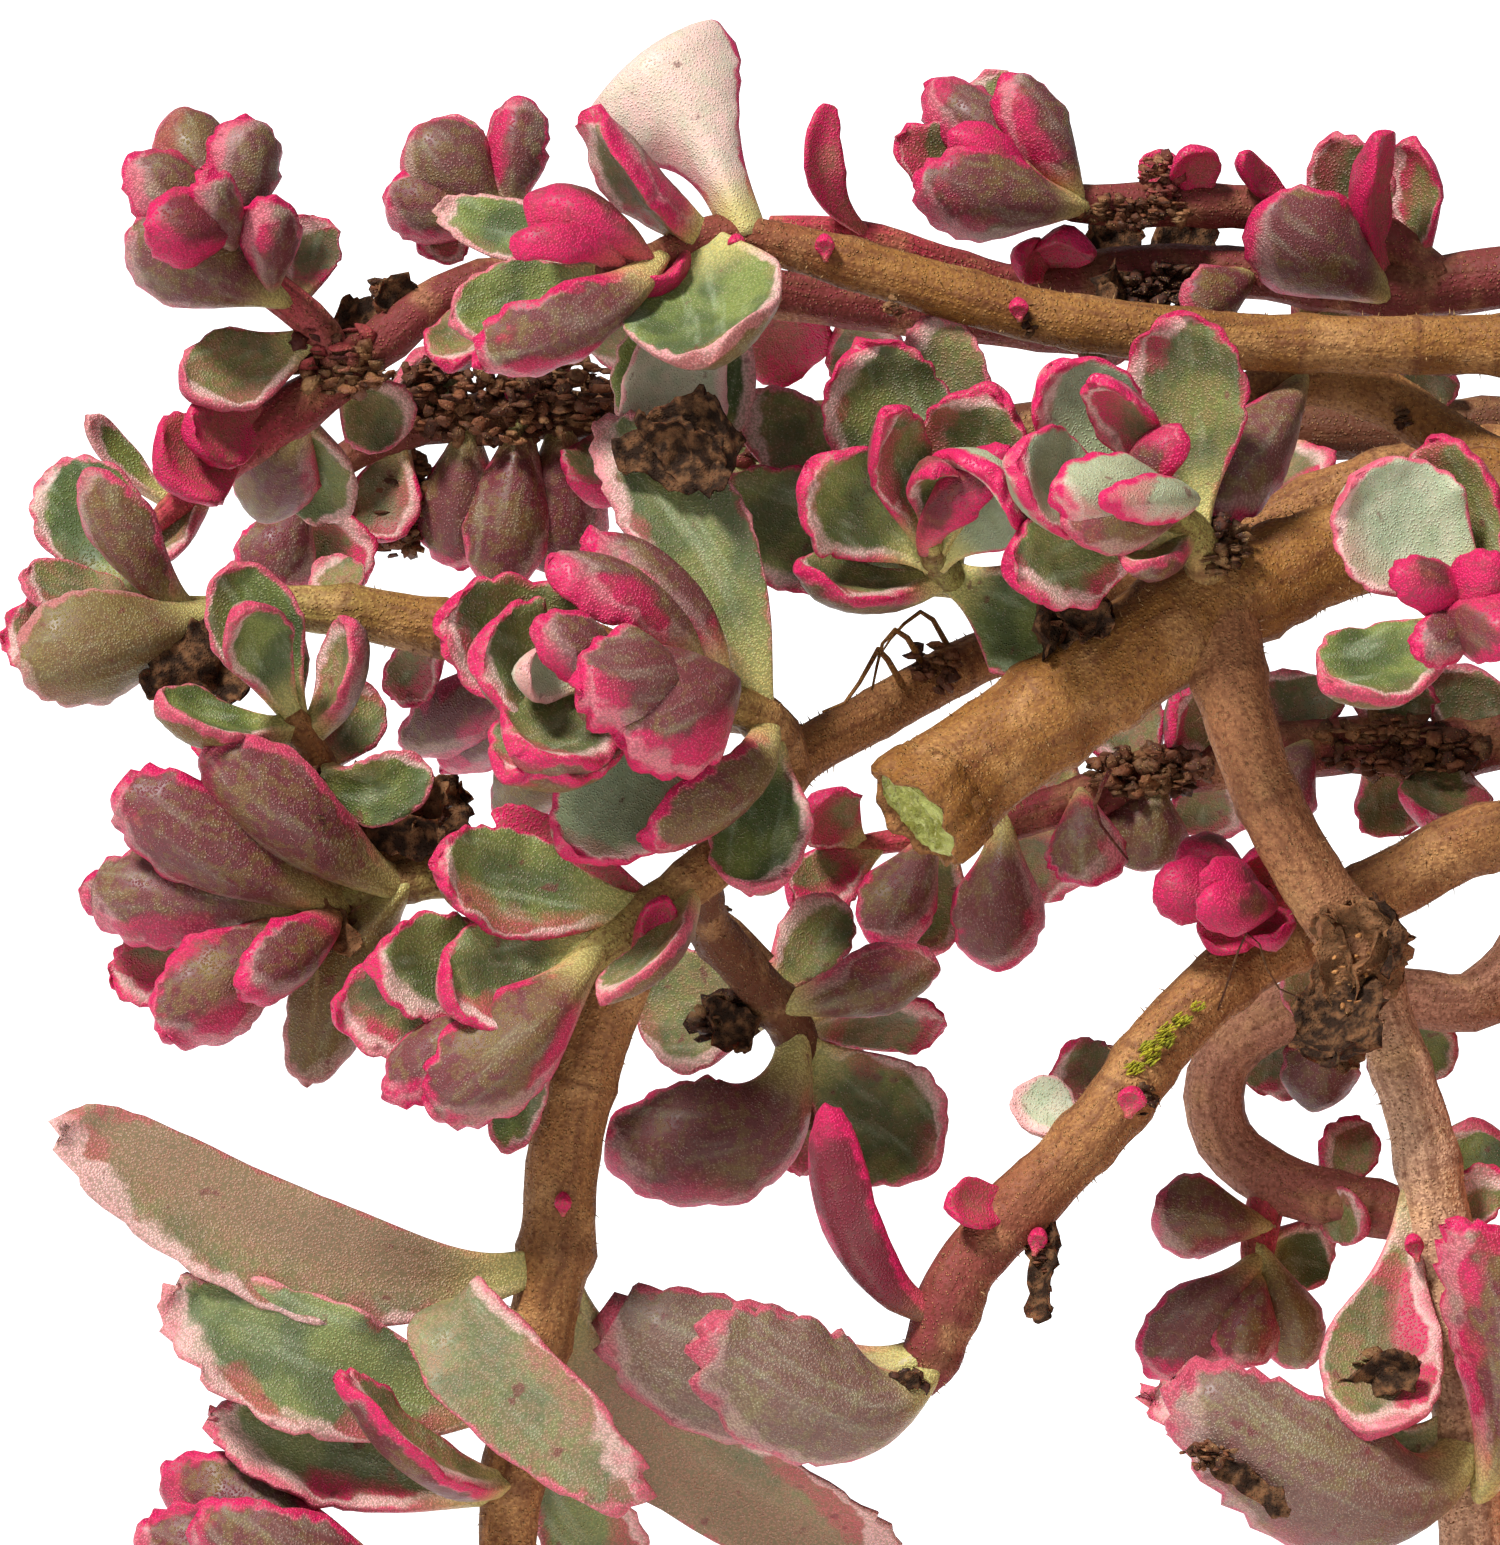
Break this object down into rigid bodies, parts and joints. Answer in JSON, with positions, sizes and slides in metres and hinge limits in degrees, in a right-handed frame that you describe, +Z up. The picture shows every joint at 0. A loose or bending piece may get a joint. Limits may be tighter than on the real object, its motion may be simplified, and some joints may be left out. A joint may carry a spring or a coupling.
{
  "type": "potted variegated two-row stonecrop",
  "caption": "Leggy variegated stonecrop in a plain clay pot: runners with leaf rosettes arch over one side, shorter leafy stems trail over the rim all round.",
  "frame": {"origin": "centre of the flat foot of the pot, on the surface it stands on", "axes": "+Z up along the pot's axis; the leggy runners that the picture shows hang out toward -X and are seen along +Y"},
  "size_m": [0.1925, 0.1545, 0.1282],
  "materials": {
    "clay": "unglazed terracotta, matt",
    "soil": "dark moist potting mix, crumbly",
    "leafy_stem": "fleshy leaves with a fine pebbled skin, cream and pink margins, brown bark on old stems"
  },
  "bodies": {
    "root": {"pot": "clay", "soil": "soil", "stem_upper_runner": "leafy_stem", "stem_middle_branch": "leafy_stem", "stem_cut_and_regrown": "leafy_stem", "stem_lower_runner": "leafy_stem", "stem_upper_left_runner": "leafy_stem", "stem_top_spray": "leafy_stem", "stem_back_runner": "leafy_stem", "stem_far_runner": "leafy_stem", "stem_loop_runner": "leafy_stem", "stem_trailing_1": "leafy_stem", "stem_trailing_2": "leafy_stem", "stem_trailing_3": "leafy_stem", "stem_trailing_4": "leafy_stem", "stem_trailing_5": "leafy_stem", "stem_trailing_6": "leafy_stem", "stem_trailing_7": "leafy_stem", "stem_trailing_8": "leafy_stem", "stem_trailing_9": "leafy_stem", "stem_crown_1": "leafy_stem", "stem_crown_2": "leafy_stem", "stem_crown_3": "leafy_stem", "stem_crown_4": "leafy_stem", "stem_crown_5": "leafy_stem"}
  },
  "joints": []
}
